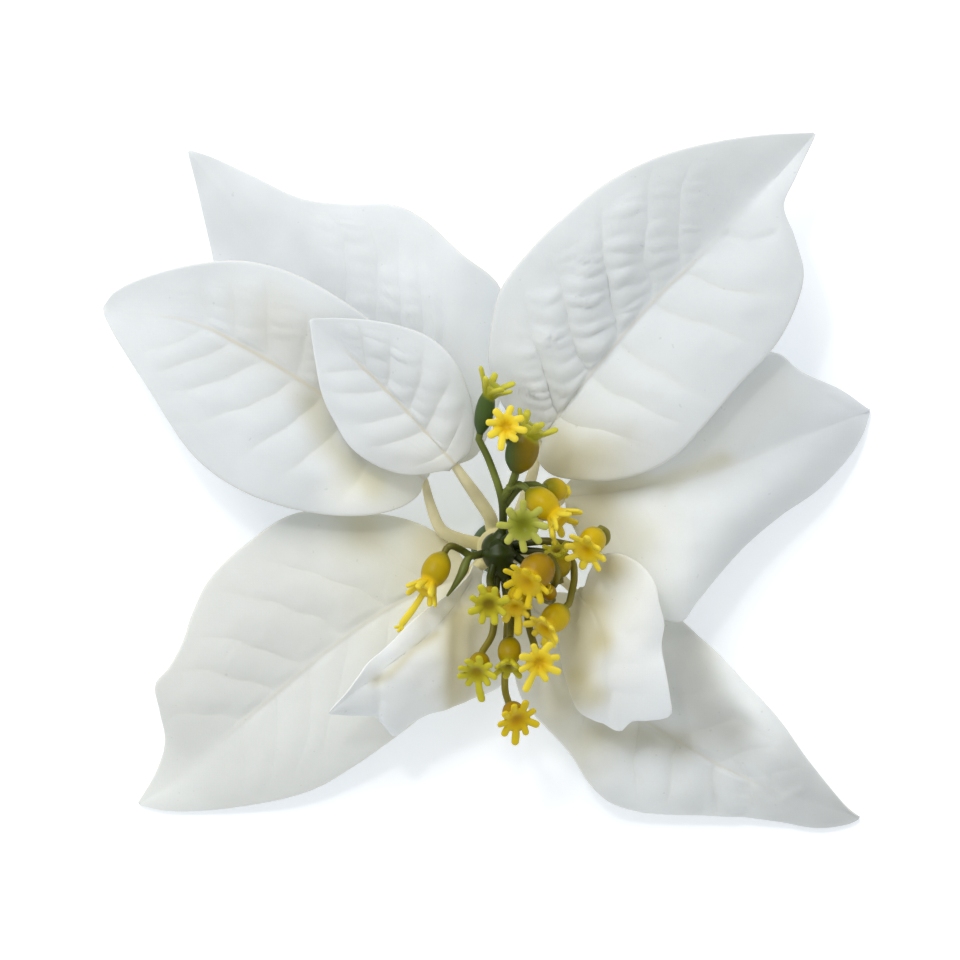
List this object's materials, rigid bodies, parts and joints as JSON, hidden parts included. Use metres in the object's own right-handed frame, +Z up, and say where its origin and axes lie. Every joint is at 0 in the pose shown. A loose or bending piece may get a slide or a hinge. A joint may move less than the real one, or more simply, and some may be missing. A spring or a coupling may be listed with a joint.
{
  "type": "artificial poinsettia flower head",
  "caption": "White artificial poinsettia head lying face up: broad veined bracts on slim cream stalks round a centre of small yellow and olive cup flowers.",
  "frame": {"origin": "centre of the back cap's flat underside, which is the flat spot that the head rests on", "axes": "+Z up out of the face of the flower, towards someone who looks down on it; +Y towards the top of the picture, +X towards its right and along the longest side"},
  "size_m": [0.1773, 0.1605, 0.0482],
  "materials": {
    "bract_fabric": "white moulded foam with a fine woven grain, matt",
    "stalk_plastic": "cream moulded plastic, satin",
    "stem_plastic": "dark green moulded plastic, satin",
    "floret_yellow": "yellow to golden moulded plastic, satin",
    "floret_olive": "olive green moulded plastic with yellow rays, satin"
  },
  "bodies": {
    "root": {"back_cap": "stem_plastic", "stalks_back": "stalk_plastic", "stalks_mid": "stalk_plastic", "stalks_front": "stalk_plastic", "bract_back_upper_left": "bract_fabric", "bract_back_right": "bract_fabric", "bract_back_lower_right": "bract_fabric", "bract_back_lower_left": "bract_fabric", "bract_mid_left": "bract_fabric", "bract_mid_upper_right": "bract_fabric", "bract_front_upper_left": "bract_fabric", "bract_front_lower_left": "bract_fabric", "bract_front_lower_right": "bract_fabric", "flower_spray": "stem_plastic", "flower_top_left": "floret_olive", "flower_top_front": "floret_yellow", "flower_top_right": "floret_olive", "flower_upper_right": "floret_yellow", "flower_right_behind": "floret_yellow", "flower_centre": "floret_olive", "flower_right_low": "floret_olive", "flower_right": "floret_yellow", "flower_big": "floret_yellow", "flower_bud": "floret_yellow", "flower_left": "floret_yellow", "flower_lower_left": "floret_olive", "flower_lower_middle": "floret_yellow", "flower_low_right": "floret_yellow", "flower_row_middle": "floret_olive", "flower_row_left": "floret_olive", "flower_row_right": "floret_yellow", "flower_bottom": "floret_yellow"}
  },
  "joints": []
}
